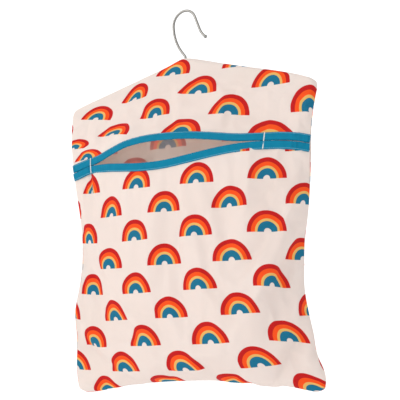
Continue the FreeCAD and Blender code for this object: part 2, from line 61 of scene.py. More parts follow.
# a soft curve through given points, read at one or many places
def smoothLine(points, at):
    xs = np.array([p[0] for p in points], float)
    ys = np.array([p[1:] for p in points], float)
    at = np.clip(np.asarray(at, float), xs[0], xs[-1])
    slopes = np.gradient(ys, xs, axis=0)
    k = np.clip(np.searchsorted(xs, at, side="right") - 1, 0, len(xs) - 2)
    step = xs[k + 1] - xs[k]
    t = (at - xs[k]) / step
    t = t[..., None]
    step = step[..., None]
    value = ((2 * t**3 - 3 * t**2 + 1) * ys[k] + (t**3 - 2 * t**2 + t) * step * slopes[k]
             + (3 * t**2 - 2 * t**3) * ys[k + 1] + (t**3 - t**2) * step * slopes[k + 1])
    return value[..., 0] if value.shape[-1] == 1 else value


def ease(t):
    t = np.clip(t, 0.0, 1.0)
    return t * t * (3 - 2 * t)


# a shader socket that takes part in sums
class Wire:
    def __init__(self, tree, socket):
        self.tree = tree
        self.socket = socket

    def maths(self, operation, *others, clamp=False):
        node = self.tree.nodes.new("ShaderNodeMath")
        node.operation = operation
        node.use_clamp = clamp
        for place, value in enumerate((self,) + others):
            if isinstance(value, Wire):
                self.tree.links.new(value.socket, node.inputs[place])
            else:
                node.inputs[place].default_value = value
        return Wire(self.tree, node.outputs[0])

    def constant(self, value):
        node = self.tree.nodes.new("ShaderNodeValue")
        node.outputs[0].default_value = value
        return Wire(self.tree, node.outputs[0])

    def __add__(self, other):
        return self.maths("ADD", other)

    __radd__ = __add__

    def __mul__(self, other):
        return self.maths("MULTIPLY", other)

    __rmul__ = __mul__

    def __sub__(self, other):
        return self.maths("SUBTRACT", other)

    def __rsub__(self, other):
        return self.constant(other).maths("SUBTRACT", self)

    def __truediv__(self, other):
        return self.maths("DIVIDE", other)

    def __pow__(self, other):
        return self.maths("POWER", other)


# one material being put together
class Finish:
    def __init__(self, name):
        self.material = bpy.data.materials.new(name)
        self.material.use_nodes = True
        self.tree = self.material.node_tree
        self.shader = self.tree.nodes["Principled BSDF"]

    def node(self, kind, settings=None, output=0, **inputs):
        made = self.tree.nodes.new(kind)
        for key, value in (settings or {}).items():
            if key == "stops":
                ramp = made.color_ramp
                while len(ramp.elements) < len(value):
                    ramp.elements.new(0.5)
                for element, (place, colour) in zip(ramp.elements, value):
                    element.position = place
                    element.color = colour
            else:
                setattr(made, key, value)
        for key, value in inputs.items():
            socket = made.inputs[int(key[1:])] if key[0] == "_" else made.inputs[key]
            if isinstance(value, Wire):
                self.tree.links.new(value.socket, socket)
            else:
                socket.default_value = value
        return Wire(self.tree, made.outputs[output])

    def parts(self, vector):
        node = self.tree.nodes.new("ShaderNodeSeparateXYZ")
        self.tree.links.new(vector.socket, node.inputs[0])
        return [Wire(self.tree, s) for s in node.outputs]

    def place(self):
        return self.node("ShaderNodeTexCoord", output=3)

    def noise(self, vector, scale, detail=3.0, roughness=0.5):
        return self.node("ShaderNodeTexNoise", _0=vector, Scale=scale, Detail=detail, Roughness=roughness)

    def mix(self, amount, first, second, blend="MIX"):
        return self.node("ShaderNodeMix", {"data_type": "RGBA", "blend_type": blend}, output=2,
                         _0=amount, _6=first, _7=second)

    def bump(self, height, strength, distance=0.001, under=None):
        inputs = {"Strength": strength, "Distance": distance, "Height": height}
        if under is not None:
            inputs["Normal"] = under
        return self.node("ShaderNodeBump", **inputs)

    def feed(self, name, value):
        socket = self.shader.inputs[name]
        if isinstance(value, Wire):
            self.tree.links.new(value.socket, socket)
        else:
            socket.default_value = value


# a colour as seen on a screen, 0 to 255, turned into light
def fromScreen(red, green, blue):
    out = []
    for c in (red, green, blue):
        c /= 255
        out.append(c / 12.92 if c <= 0.04045 else ((c + 0.055) / 1.055) ** 2.4)
    return (*out, 1.0)


printedCotton = {
    "cloth": fromScreen(247, 239, 234),
    "red": fromScreen(208, 14, 18),
    "orange": fromScreen(255, 92, 18),
    "yellow": fromScreen(244, 200, 112),
    "teal": fromScreen(4, 124, 160),
    "radius": 24.7 * mm,
    "acrossPitch": 96 * mm,
    "rowPitch": 31 * mm,
    "bands": (1.0, 0.80, 0.61, 0.49, 0.175),
    "threadPitch": 0.55 * mm,
    "reverseFade": 0.6,
    "thin": 0.38,
}


def makeCotton(name, reverse):
    p = printedCotton
    f = Finish(name)
    lay = f.node("ShaderNodeUVMap", {"uv_map": "printLay"})
    across, up, _ = f.parts(lay)
    row = up / p["rowPitch"]
    rowNumber = row.maths("FLOOR")
    height = (row - rowNumber) * p["rowPitch"]
    odd = rowNumber.maths("MODULO", 2.0).maths("ABSOLUTE")
    column = across / p["acrossPitch"] + odd * 0.5 + 0.5
    side = (column - column.maths("FLOOR") - 0.5) * p["acrossPitch"]
    wobble = f.noise(lay, 900.0, 2.0)
    distance = (side * side + height * height).maths("SQRT") / p["radius"] + (wobble - 0.5) * 0.012
    blotch = f.noise(lay, 14.0, 4.0)
    colour = f.mix(blotch * 0.5, p["cloth"], fromScreen(239, 226, 216))
    cloth = colour
    order = ("red", "orange", "yellow", "teal")
    soft = 0.012
    for limit, band in zip(p["bands"], order):
        mask = ((limit - distance) / soft + 0.5).maths("MINIMUM", 1.0).maths("MAXIMUM", 0.0)
        colour = f.mix(mask, colour, p[band])
    mask = ((p["bands"][-1] - distance) / soft + 0.5).maths("MINIMUM", 1.0).maths("MAXIMUM", 0.0)
    colour = f.mix(mask, colour, cloth)
    ink = f.noise(lay, 2200.0, 2.0)
    colour = f.mix((ink - 0.35) * 0.12, colour, cloth)
    if reverse:
        colour = f.mix(p["reverseFade"], colour, fromScreen(248, 236, 226))
    f.feed("Base Color", colour)
    turn = 2 * math.pi / p["threadPitch"]
    weave = (across * turn).maths("SINE") * (up * turn).maths("SINE")
    slub = f.noise(f.node("ShaderNodeMapping", _0=lay, Scale=(40.0, 900.0, 1.0)), 1.0, 2.0)
    height = weave * 0.5 + slub * 0.6
    f.feed("Normal", f.bump(height, 0.22, 0.0003))
    f.feed("Roughness", 0.86)
    f.shader.inputs["Sheen Weight"].default_value = 0.04
    f.shader.inputs["Sheen Roughness"].default_value = 0.5
    f.shader.inputs["Specular IOR Level"].default_value = 0.12
    through = f.node("ShaderNodeBsdfTranslucent", Color=colour)
    f.tree.links.new(f.node("ShaderNodeMixShader", _0=p["thin"], _1=Wire(f.tree, f.shader.outputs[0]),
                            _2=through).socket, f.tree.nodes["Material Output"].inputs[0])
    return f.material


tealTape = {"colour": fromScreen(2, 128, 160), "shade": fromScreen(2, 104, 136), "threadPitch": 0.7 * mm}


def makeTapeFinish():
    f = Finish("tealTape")
    lay = f.node("ShaderNodeUVMap", {"uv_map": "printLay"})
    along, over, _ = f.parts(lay)
    turn = 2 * math.pi / tealTape["threadPitch"]
    weave = ((along + over) * turn).maths("SINE") * ((along - over) * turn).maths("SINE")
    patch = f.noise(lay, 160.0, 4.0)
    colour = f.mix(patch, tealTape["shade"], tealTape["colour"])
    colour = f.mix(weave * 0.05 + 0.05, colour, fromScreen(50, 155, 180))
    f.feed("Base Color", colour)
    f.feed("Normal", f.bump(weave * 0.5 + patch, 0.3, 0.0004))
    f.feed("Roughness", 0.85)
    f.shader.inputs["Sheen Weight"].default_value = 0.03
    f.shader.inputs["Specular IOR Level"].default_value = 0.12
    return f.material


def makeThreadFinish(name, colour, other):
    f = Finish(name)
    spot = f.place()
    # noise mixes in the second colour: for the white thread a random greyer tone, for the teal thread a much
    # lighter teal that is a painted highlight
    toneAndPaintedHighlight = f.noise(spot, 900.0, 2.0)
    f.feed("Base Color", f.mix(toneAndPaintedHighlight, colour, other))
    f.feed("Normal", f.bump(f.noise(spot, 3500.0, 2.0), 0.4, 0.0002))
    f.feed("Roughness", 0.6)
    return f.material


def makeSteel():
    f = Finish("drawnSteel")
    spot = f.place()
    streak = f.noise(spot, 260.0, 5.0)
    # painted shade: noise patches take the base colour down to a much darker steel, which stands for shade
    # on the wire
    paintedShadePatch = f.noise(spot, 35.0, 3.0)
    f.feed("Base Color", f.mix(paintedShadePatch, fromScreen(168, 168, 164), fromScreen(104, 101, 98)))
    f.feed("Metallic", 1.0)
    f.feed("Roughness", 0.2 + streak * 0.14)
    f.feed("Normal", f.bump(streak, 0.12, 0.0003))
    return f.material


def makeZinc():
    f = Finish("zincWasher")
    spot = f.place()
    spangle = f.node("ShaderNodeTexVoronoi", _0=spot, Scale=700.0)
    f.feed("Base Color", f.mix(spangle, fromScreen(176, 178, 178), fromScreen(146, 149, 152)))
    f.feed("Metallic", 1.0)
    f.feed("Roughness", 0.34 + f.noise(spot, 500.0, 3.0) * 0.16)
    return f.material


paleWood = {"light": fromScreen(214, 178, 130), "dark": fromScreen(176, 132, 84), "ringPitch": 5 * mm}


def makeWood():
    f = Finish("paleBeech")
    spot = f.place()
    grain = f.node("ShaderNodeMapping", _0=spot, Scale=(0.12, 1.0, 1.0))
    drift = f.noise(grain, 60.0, 3.0)
    _, y, z = f.parts(grain)
    ring = ((z + y * 0.6) / paleWood["ringPitch"] * 2 * math.pi + drift * 7).maths("SINE") * 0.5 + 0.5
    fleck = f.noise(f.node("ShaderNodeMapping", _0=spot, Scale=(0.05, 1.0, 1.0)), 1600.0, 3.0)
    f.feed("Base Color", f.mix(ring * 0.7 + fleck * 0.3, paleWood["light"], paleWood["dark"]))
    f.feed("Roughness", 0.5 + fleck * 0.15)
    f.feed("Normal", f.bump(fleck, 0.3, 0.0004))
    return f.material


def makeBackdropFinish():
    f = Finish("backdrop")
    f.feed("Base Color", f.mix(f.noise(f.place(), 3.0), (0.93, 0.93, 0.93, 1), (0.95, 0.95, 0.95, 1)))
    f.feed("Roughness", 0.9)
    f.feed("Emission Color", (1, 1, 1, 1))
    f.feed("Emission Strength", 0.22)
    return f.material


cottonFace = makeCotton("printedCotton", False)
cottonReverse = makeCotton("printedCottonReverse", True)
tapeFinish = makeTapeFinish()
# the lighter teal mixed into the teal thread is a painted highlight
tealThread = makeThreadFinish("tealThread", fromScreen(30, 130, 160), fromScreen(110, 175, 195))
whiteThread = makeThreadFinish("whiteThread", fromScreen(235, 232, 226), fromScreen(214, 212, 208))

# the bag's lines, in millimetres
bagLines = {
    # height, distance from the middle
    "leftSeam": [(-460, -149), (-452, -153), (-440, -154.5), (-390, -154.5), (-356, -156), (-339, -152),
                 (-320, -148), (-296, -145.5), (-252, -147), (-216, -151), (-190, -154), (-165, -157.5),
                 (-140, -158.5), (-124, -158.5), (-113, -157), (-107.5, -153.5), (-105, -148)],
    "rightSeam": [(-460, 148), (-450, 152), (-436, 151), (-418, 144), (-395, 141), (-370, 136.5),
                  (-345, 133.5),
                  (-320, 134.5), (-290, 137), (-262, 142), (-240, 145), (-200, 148.5), (-165, 151),
                  (-145, 154), (-128, 157.8), (-116, 160), (-111, 158.8), (-107, 153)],
    # distance from the middle, height
    "roof": [(-149, -105.8), (-137, -101.5), (-114, -94.5), (-92, -88), (-47, -74.4), (-20, -66.2),
             (-7, -61.2),
             (0, -59.9), (7, -60.6), (20, -64.2), (45, -72), (77, -81.4), (116, -92.5), (140, -100.4),
             (154, -106.3)],
    "hem": [(-151, -452.5), (-143, -456), (-134, -456.5), (-104, -452), (-80, -448.5), (-50, -446),
            (-10, -444.5),
            (20, -444.5), (50, -446.5), (90, -450), (116, -452.5), (132, -456), (142, -457.5),
            (150, -454.5)],
    # distance from the middle, depth in front of the hanger, height of the cloth's edge at the opening
    "upperLip": [(-154, 4, -186.9), (-143, 7, -184.8), (-129, 10.5, -182.3), (-121, 13.5, -181.6),
                 (-114, 16, -180.6), (-95, 23, -175.4), (-72, 28, -168.7), (-48, 31, -165.8),
                 (-20, 33, -165.9),
                 (10, 33, -167.7), (40, 31, -171.7), (70, 27, -176.2), (98, 21, -177.6), (120, 15, -178.3),
                 (137, 10, -180.3), (149, 4, -182.7)],
    "lowerLip": [(-154, 4.5, -188.5), (-143, 8, -186.4), (-129, 11.5, -183.5), (-121, 14.5, -183.2),
                 (-114, 18, -184.0), (-95, 26, -185.9), (-72, 32, -188.9), (-48, 35.5, -191.4),
                 (-20, 37, -191.7),
                 (10, 37, -188.4), (40, 34.5, -183.9), (70, 29.5, -180.2), (98, 22, -178.9),
                 (120, 16, -179.8),
                 (137, 11, -181.9), (149, 4.5, -184.2)],
    "leftTack": -124.5,
    "rightTack": 101.5,
    "frontDepth": 44.0,
    "ridge": 55.0,
    "backDepth": 13.0,
    "barFace": 7.4,
    "barHeight": 26.0,
}


def seamX(side, z):
    return smoothLine(sorted(bagLines[side + "Seam"]), z)


def roofZ(x):
    return smoothLine(bagLines["roof"], x)


# share of the full depth across the front, 0 at both side seams
def frontSweep(x, left, right):
    ridge = bagLines["ridge"]
    t = np.where(x < ridge, (ridge - x) / (ridge - left), (x - ridge) / (right - ridge))
    t = np.clip(t, 0, 1)
    power = np.where(x < ridge, 2.0, 2.6)
    rounder = np.where(x < ridge, 0.85, 0.72)
    return (1 - t**power) ** rounder


# places from 0 to 1, closer together near both ends
def spread(count, crowd=0.25):
    t = np.linspace(0, 1, count)
    return t - crowd * np.sin(2 * np.pi * t) / (2 * np.pi)


# a flat grid from top line to bottom line, with its two sides on the side seams
def fillPanel(top, bottom, u, v, topPull, bottomPull):
    flat = top[None] * (1 - v[:, None, None]) + bottom[None] * v[:, None, None]
    sides = []
    for side, start, end in (("left", top[0], bottom[0]), ("right", top[-1], bottom[-1])):
        z = start[1] + v * (end[1] - start[1])
        x = seamX(side, z)
        x = x + (start[0] - x[0]) * (1 - v) ** topPull + (end[0] - x[-1]) * v**bottomPull
        sides.append(np.stack([x, z], -1))
    shiftLeft = (sides[0] - flat[:, 0])[:, None]
    shiftRight = (sides[1] - flat[:, -1])[:, None]
    un = u[None, :, None]
    return flat + (1 - un) ** 2 * shiftLeft + un**2 * shiftRight


# how far the cloth stands off at the hanger's ends, where it turns the corner to the side seam
def wrapRound(flat):
    x = flat[..., 0]
    gap = np.minimum(x - x[:, :1], x[:, -1:] - x)
    return np.sqrt(1 - (1 - np.clip(gap / 6.5, 0, 1)) ** 2)


# the cloth parts a little where the hook's stem comes through the shoulder seam
def stemGap(x, fall):
    return 2.6 * np.exp(-((x / 4.5) ** 2) - (fall / 4) ** 2)


panelGrid = {"columns": 76, "yokeRows": 30, "lowerRows": 64, "backRows": 84}


def yokePoints():
    columns, rows = panelGrid["columns"], panelGrid["yokeRows"]
    u = spread(columns)
    roofEnds = bagLines["roof"][0][0], bagLines["roof"][-1][0]
    topX = roofEnds[0] + u * (roofEnds[1] - roofEnds[0])
    top = np.stack([topX, roofZ(topX)], -1)
    lip = bagLines["upperLip"]
    lipX = lip[0][0] + u * (lip[-1][0] - lip[0][0])
    lipLine = smoothLine(lip, lipX)
    bottom = np.stack([lipX, lipLine[:, 1]], -1)
    v = np.linspace(0, 1, rows) ** 1.35
    flat = fillPanel(top, bottom, u, v, 6, 6)
    x, z = flat[..., 0], flat[..., 1]
    fall = top[None, :, 1] - z
    full = top[None, :, 1] - bottom[None, :, 1]
    reach = lipLine[:, 0][None]
    face = bagLines["barFace"]
    edge = wrapRound(flat)
    bar = face * np.sqrt(np.clip(1 - (1 - np.clip(fall / 6.0, 0, 1)) ** 2, 0, 1)) * edge
    lean = np.clip((fall - 14) / (full - 14), 0, 1)
    lean = 0.35 * lean + 0.65 * lean**1.5
    bar = bar + stemGap(x, fall)
    y = bar * (1 - lean) + lean * reach
    return np.stack([x, -y, z], -1)


def lowerPoints():
    columns, rows = panelGrid["columns"], panelGrid["lowerRows"]
    u = spread(columns)
    lip = bagLines["lowerLip"]
    lipX = lip[0][0] + u * (lip[-1][0] - lip[0][0])
    lipLine = smoothLine(lip, lipX)
    hem = bagLines["hem"]
    hemX = hem[0][0] + u * (hem[-1][0] - hem[0][0])
    top = np.stack([lipX, lipLine[:, 1]], -1)
    bottom = np.stack([hemX, smoothLine(hem, hemX)], -1)
    t = np.linspace(0, 1, rows)
    v = 1 - (1 - t) ** 1.12
    flat = fillPanel(top, bottom, u, v, 8, 14)
    x, z = flat[..., 0], flat[..., 1]
    left, right = flat[:, :1, 0], flat[:, -1:, 0]
    sweep = frontSweep(x, left, right)
    down = v[:, None]
    belly = bagLines["frontDepth"] * (0.9 + 0.1 * np.sin(np.pi * np.clip(down * 1.1, 0, 1)))
    hemRound = (1 - np.clip((down - 0.62) / 0.38, 0, 1) ** 2.4) ** 0.6
    y = belly * sweep * hemRound
    lipReach = lipLine[:, 0][None]
    hold = ease(down / 0.3)
    y = lipReach * (1 - hold) * (1 - np.clip(down / 0.3, 0, 1) * 0.1) + y * hold
    return np.stack([x, -y, z], -1)


def backPoints():
    columns, rows = panelGrid["columns"], panelGrid["backRows"]
    u = spread(columns)
    roofEnds = bagLines["roof"][0][0], bagLines["roof"][-1][0]
    topX = roofEnds[0] + u * (roofEnds[1] - roofEnds[0])
    hem = bagLines["hem"]
    hemX = hem[0][0] + u * (hem[-1][0] - hem[0][0])
    top = np.stack([topX, roofZ(topX)], -1)
    bottom = np.stack([hemX, smoothLine(hem, hemX)], -1)
    t = np.linspace(0, 1, rows)
    v = ease(t) * 0.35 + t * 0.65
    v = v * 0.9 + 0.1 * t**1.6
    flat = fillPanel(top, bottom, u, v, 20, 20)
    x, z = flat[..., 0], flat[..., 1]
    fall = top[None, :, 1] - z
    down = v[:, None]
    edge = wrapRound(flat)
    bar = bagLines["barFace"] * np.sqrt(np.clip(1 - (1 - np.clip(fall / 6.0, 0, 1)) ** 2, 0, 1)) * edge
    sweep = (1 - np.abs(2 * u - 1)[None] ** 2.6) ** 0.7
    hemRound = (1 - np.clip((down - 0.7) / 0.3, 0, 1) ** 2.2) ** 0.6
    belly = bagLines["backDepth"] * sweep * hemRound
    bar = bar + stemGap(x, fall)
    hold = ease((fall - 20) / 60)
    y = bar * (1 - hold) + belly * hold
    return np.stack([x, y, z], -1)


# where each spot of a panel lies on the flat cloth, in mm: across from the middle, and down from the top
def printPlace(points, start):
    middle = points.shape[1] // 2
    stepAcross = np.linalg.norm(np.diff(points, axis=1), axis=2)
    across = np.concatenate([np.zeros((points.shape[0], 1)), np.cumsum(stepAcross, 1)], 1)
    across -= across[:, middle:middle + 1]
    across += points[:, middle:middle + 1, 0]
    for _ in range(14):
        across[1:-1] = (across[:-2] + across[1:-1] * 2 + across[2:]) / 4
    stepDown = np.linalg.norm(np.diff(points, axis=0), axis=2)
    down = np.concatenate([np.zeros((1, points.shape[1])), np.cumsum(stepDown, 0)], 0)
    share = down.mean(1, keepdims=True) / down.mean(1)[-1]
    return across, share * down[-1:] - points[:1, :, 2] + start


def panelFromPoints(name, points, flip):
    rows, columns = points.shape[:2]
    deselectAll()
    bpy.ops.mesh.primitive_grid_add(x_subdivisions=columns - 1, y_subdivisions=rows - 1, size=1)
    panel = bpy.context.object
    panel.name = name
    mesh = panel.data
    co = np.empty(len(mesh.vertices) * 3)
    mesh.vertices.foreach_get("co", co)
    co = co.reshape(-1, 3)
    column = np.rint((co[:, 0] + 0.5) * (columns - 1)).astype(int)
    row = np.rint((0.5 - co[:, 1]) * (rows - 1)).astype(int)
    order = points[row, column] * mm
    mesh.vertices.foreach_set("co", order.ravel())
    mesh.update()
    if flip:
        mesh.flip_normals()
    return panel, row, column


print("stage: panel patterns")
cottonPanels = {
    "frontYoke": {"points": yokePoints, "flip": False, "start": None},
    "frontLower": {"points": lowerPoints, "flip": False, "start": -185.7},
    "backPanel": {"points": backPoints, "flip": True, "start": None},
}
# how the print hangs on each panel, in mm: start and lift place it, stretch and rise are how much of it
# lies on a millimetre of cloth, mouthStretch and ease change the stretch on the way down, lean and sway
# carry it sideways on the way down, bow draws its two sides apart unevenly, tilt and arch raise or lower
# its ends, twist turns it more the further down it is
printLay = {
    "frontYoke": {"start": 6, "stretch": 1.12, "mouthStretch": 0, "ease": -0.00002, "lean": 0.38,
                  "sway": 0,
                  "bow": 0, "lift": 31, "rise": 1.13, "tilt": 0.01, "arch": -0.0004, "twist": 0.000015},
    "frontLower": {"start": -35, "stretch": 1.16, "mouthStretch": 0.13, "ease": 0, "lean": 0.24,
                   "sway": -0.0012,
                   "bow": -0.0005, "lift": 37, "rise": 1.03, "tilt": 0.024, "arch": -0.00016, "twist": 0},
    "backPanel": {"start": 30, "stretch": 1, "mouthStretch": 0, "ease": 0, "lean": 0, "sway": 0,
                  "bow": 0, "lift": -13.5, "rise": 1, "tilt": 0, "arch": 0, "twist": 0},
}
mouthReach = 60.0

# small pulls in the hanging cloth: panel, across, down, then what they add to the print's lay both ways
printPulls = [
    ("frontYoke", -64, 52, (0.6, 0.0), (-0.4, 0.0)),
    ("frontYoke", -31, 75, (0.6, -0.4), (-0.4, 0.2)),
]
pullReach = 27.0
tackPleat = {"across": -126.0, "top": -188.0, "bottom": -246.0, "takeIn": 21.0, "fade": 32.0}
# the lower panel's edge is taken up a little under its tape, right of the middle
lipTuck = {"across": 80.0, "reach": 30.0, "fade": 17.0, "lift": 3.2}
# the yoke's edge is bunched above the left tack, which hides some of its print
tackGather = {"across": -130.0, "start": 96.0, "run": 16.0, "reach": 24.0, "aside": 20.0, "drop": 15.0}


def layPrint(name, across, down, points):
    lay = printLay[name]
    stretch = lay["stretch"] + lay["mouthStretch"] * np.exp(-down / mouthReach) + lay["ease"] * down**2
    u = lay["start"] + stretch * across + lay["bow"] * across**2 + lay["lean"] * down + lay["sway"] * down**2
    v = lay["lift"] - lay["rise"] * down + lay["tilt"] * across + lay["arch"] * across**2
    v = v + lay["twist"] * across * down**2
    for panelName, a, d, addU, addV in printPulls:
        if panelName == name:
            da, dd = across - a, down - d
            near = np.exp(-(da**2 + dd**2) / pullReach**2)
            u = u + near * (addU[0] * da + addU[1] * dd)
            v = v + near * (addV[0] * da + addV[1] * dd)
    if name == "frontYoke":
        t = tackGather
        near = ease((down - t["start"]) / t["run"]) * np.exp(-((across - t["across"]) / t["reach"]) ** 2)
        u, v = u + t["aside"] * near, v - t["drop"] * near
    if name == "frontLower":
        t = tackPleat
        beyond = points[..., 0] - t["across"]
        share = 1 - ease((t["top"] - points[..., 2]) / (t["top"] - t["bottom"]))
        u = u + np.where(beyond > 0, t["takeIn"] * share * np.exp(-beyond / t["fade"]), 0)
        t = lipTuck
        below = points[:1, :, 2] - points[..., 2]
        v = v - t["lift"] * np.exp(-(((across - t["across"]) / t["reach"]) ** 2) - (below / t["fade"]) ** 2)
    return u, v


rng = np.random.default_rng(7)
panels = {}
for name, making in cottonPanels.items():
    points = making["points"]()
    across, down = printPlace(points, making["start"] or points[0, points.shape[1] // 2, 2])
    panel, row, column = panelFromPoints(name, points, making["flip"])
    panels[name] = {"piece": panel, "row": row, "column": column, "points": points,
                    "across": across, "down": down}
    mesh = panel.data
    layer = mesh.uv_layers[0]
    layer.name = "printLay"
    u, v = layPrint(name, across, down, points)
    uv = np.stack([u, v], -1)[row, column] * mm
    loops = np.empty(len(mesh.loops), int)
    mesh.loops.foreach_get("vertex_index", loops)
    layer.data.foreach_set("uv", uv[loops].ravel())
    print("made", name, points.reshape(-1, 3).min(0), points.reshape(-1, 3).max(0))

clothRun = {"frames": 24, "growth": -0.028, "hold": 0.06, "push": 0.25, "noise": 0.5 * mm}


def startCloth(panel, row, column, rows, columns, onBar):
    mesh = panel.data
    co = np.empty(len(mesh.vertices) * 3)
    mesh.vertices.foreach_get("co", co)
    normal = np.empty(len(mesh.vertices) * 3)
    mesh.vertices.foreach_get("normal", normal)
    inner = (row > 0) & (row < rows - 1) & (column > 0) & (column < columns - 1) & ~onBar[row, column]
    bumpy = rng.normal(0, 1, (rows // 4 + 3, columns // 4 + 3))
    ri, ci = row / 4, column / 4
    r0, c0 = ri.astype(int), ci.astype(int)
    fr, fc = ri - r0, ci - c0
    wave = ((1 - fr) * (1 - fc) * bumpy[r0, c0] + fr * (1 - fc) * bumpy[r0 + 1, c0]
            + (1 - fr) * fc * bumpy[r0, c0 + 1] + fr * fc * bumpy[r0 + 1, c0 + 1])
    co = co.reshape(-1, 3) + normal.reshape(-1, 3) * (wave * inner * clothRun["noise"])[:, None]
    mesh.vertices.foreach_set("co", co.ravel())
    mesh.update()
    pins = panel.vertex_groups.new(name="pins")
    fixed = [int(i) for i in np.nonzero(~inner)[0]]
    loose = [int(i) for i in np.nonzero(inner)[0]]
    pins.add(fixed, 1.0, "REPLACE")
    pins.add(loose, clothRun["hold"], "REPLACE")
    cloth = panel.modifiers.new("cloth", "CLOTH")
    s = cloth.settings
    s.quality = 7
    s.mass = 0.12
    s.tension_stiffness = s.compression_stiffness = 15
    s.shear_stiffness = 7
    s.bending_stiffness = 0.02
    s.tension_damping = s.compression_damping = s.shear_damping = 5
    s.vertex_group_mass = "pins"
    s.pin_stiffness = 1.0
    s.shrink_min = clothRun["growth"]
    s.use_pressure = True
    s.uniform_pressure_force = clothRun["push"] * (panel.name != "backPanel")
    s.effector_weights.gravity = 0.15
    cloth.collision_settings.use_collision = False


for name, p in panels.items():
    fall = p["points"][:1, :, 2] - p["points"][..., 2]
    fromLip = np.abs(p["points"][..., 2] - p["points"][-1 if name == "frontYoke" else 0, :, 2])
    onBar = (fall < bagLines["barHeight"]) & (name != "frontLower")
    onBar |= (fromLip < 9.5) & (name != "backPanel")
    startCloth(p["piece"], p["row"], p["column"], *p["points"].shape[:2], onBar)
scene = bpy.context.scene
scene.frame_start, scene.frame_end = 1, clothRun["frames"]
for number in range(1, clothRun["frames"] + 1):
    scene.frame_set(number)
for p in panels.values():
    applyAll(p["piece"])
    p["piece"].vertex_groups.clear()
print("stage: cloth settled")


# folds: panel, start and end (across, height), half width and depth in mm; a crease also lifts its two sides
folds = [
    ("frontLower", (-127.5, -186), (-123.5, -240), 2.6, -3.6, "crease"),
    ("frontLower", (-112, -188), (-114, -226), 3.5, -1.4, "crease"),
    ("frontLower", (-99, -190), (-104, -222), 4.0, -1.1, "crease"),
    ("frontLower", (-66, -192), (-60, -216), 5.0, -0.9, "crease"),
    ("frontLower", (140, -262), (131, -280), 3.0, -2.6, "crease"),
    ("frontLower", (131, -274), (137, -310), 3.2, -3.2, "crease"),
    ("frontLower", (130, -262), (72, -326), 10.0, -4.6, "soft"),
    ("frontLower", (128, -308), (108, -396), 11.0, -5.0, "soft"),
    ("frontLower", (100, -262), (90, -350), 11.0, 2.8, "soft"),
    ("frontLower", (20, -418), (33, -446), 5.0, -2.4, "crease"),
    ("frontLower", (-62, -240), (-78, -330), 16.0, -2.0, "soft"),
    ("frontLower", (-30, -330), (-95, -410), 14.0, -2.2, "soft"),
    ("frontLower", (60, -400), (120, -436), 12.0, -2.2, "soft"),
    ("frontLower", (118, -186), (132, -232), 7.0, -1.8, "soft"),
    ("frontLower", (-140, -395), (-118, -440), 8.0, -2.2, "soft"),
    ("frontYoke", (-34, -138), (-96, -176), 7.0, -2.0, "crease"),
    ("frontYoke", (-70, -122), (-132, -160), 10.0, -2.0, "soft"),
    ("frontYoke", (112, -128), (70, -166), 11.0, -1.8, "soft"),
    ("frontYoke", (136, -140), (118, -176), 6.0, -1.4, "crease"),
    ("frontYoke", (20, -120), (-10, -160), 14.0, -1.6, "soft"),
    ("backPanel", (-110, -130), (-60, -300), 14.0, -2.4, "soft"),
    ("backPanel", (100, -130), (70, -280), 13.0, -2.4, "soft"),
    ("backPanel", (-20, -120), (-8, -260), 16.0, -1.8, "soft"),
    ("backPanel", (-130, -320), (-70, -420), 12.0, -2.2, "soft"),
    ("backPanel", (126, -330), (60, -430), 12.0, -2.4, "soft"),
    ("backPanel", (128, -262), (96, -290), 5.0, -2.4, "crease"),
    ("backPanel", (-134, -250), (-104, -262), 5.0, -1.8, "crease"),
]


